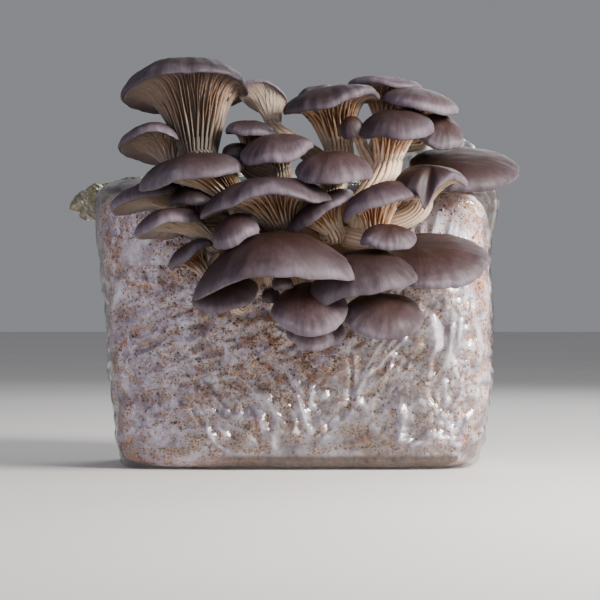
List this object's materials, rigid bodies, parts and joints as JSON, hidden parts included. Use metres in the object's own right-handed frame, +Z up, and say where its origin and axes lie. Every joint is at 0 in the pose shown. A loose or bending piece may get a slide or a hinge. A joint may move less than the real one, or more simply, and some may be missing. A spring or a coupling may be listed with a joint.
{
  "type": "oyster mushroom grow kit",
  "caption": "Sawdust block in a clear wrinkled film bag, with a dense flush of lilac-grey oyster mushrooms growing out of a slit in its front.",
  "frame": {"origin": "middle of the bag's flat footprint, on the surface it stands on", "axes": "+X to the right seen from the side the mushrooms grow on, +Y from the mushrooms to the back, +Z up"},
  "size_m": [0.2304, 0.2008, 0.2076],
  "materials": {
    "cap_skin": "smooth, slightly satin lilac-grey mushroom skin",
    "stem_flesh": "matte cream fibrous mushroom flesh",
    "substrate": "pressed sawdust grown through with white mycelium",
    "film": "thin clear wrinkled film, glossy"
  },
  "bodies": {
    "root": {"cap_arched": "cap_skin", "cap_back_bud": "cap_skin", "cap_back_curl": "cap_skin", "cap_back_small": "cap_skin", "cap_bottom_left": "cap_skin", "cap_bottom_right": "cap_skin", "cap_bottom_tip": "cap_skin", "cap_bud_lower": "cap_skin", "cap_bud_upper": "cap_skin", "cap_curled": "cap_skin", "cap_far_right": "cap_skin", "cap_left_broad": "cap_skin", "cap_left_cup": "cap_skin", "cap_left_lower": "cap_skin", "cap_left_round": "cap_skin", "cap_left_shaded": "cap_skin", "cap_left_slim": "cap_skin", "cap_left_upper": "cap_skin", "cap_lower_middle": "cap_skin", "cap_lower_right": "cap_skin", "cap_middle_long": "cap_skin", "cap_middle_round": "cap_skin", "cap_middle_upper": "cap_skin", "cap_right_button": "cap_skin", "cap_right_folded": "cap_skin", "cap_right_high": "cap_skin", "cap_right_middle": "cap_skin", "cap_slanted": "cap_skin", "cap_top_left": "cap_skin", "cap_top_right": "cap_skin", "cap_twin_large": "cap_skin", "cap_twin_small": "cap_skin", "cap_under_arch": "cap_skin", "cap_upper_fan": "cap_skin", "cap_wavy": "cap_skin", "cluster_base": "stem_flesh", "grow_bag": "film", "stem_arched": "stem_flesh", "stem_bottom_left": "stem_flesh", "stem_bottom_right": "stem_flesh", "stem_far_right": "stem_flesh", "stem_left_broad": "stem_flesh", "stem_left_lower": "stem_flesh", "stem_left_round": "stem_flesh", "stem_left_upper": "stem_flesh", "stem_lower_middle": "stem_flesh", "stem_lower_right": "stem_flesh", "stem_middle_long": "stem_flesh", "stem_middle_round": "stem_flesh", "stem_middle_upper": "stem_flesh", "stem_right_button": "stem_flesh", "stem_right_middle": "stem_flesh", "stem_slanted": "stem_flesh", "stem_top_left": "stem_flesh", "stem_top_right": "stem_flesh", "stem_twin_large": "stem_flesh", "stem_under_arch": "stem_flesh", "stem_upper_fan": "stem_flesh", "stem_wavy": "stem_flesh", "substrate_block": "substrate"}
  },
  "joints": []
}
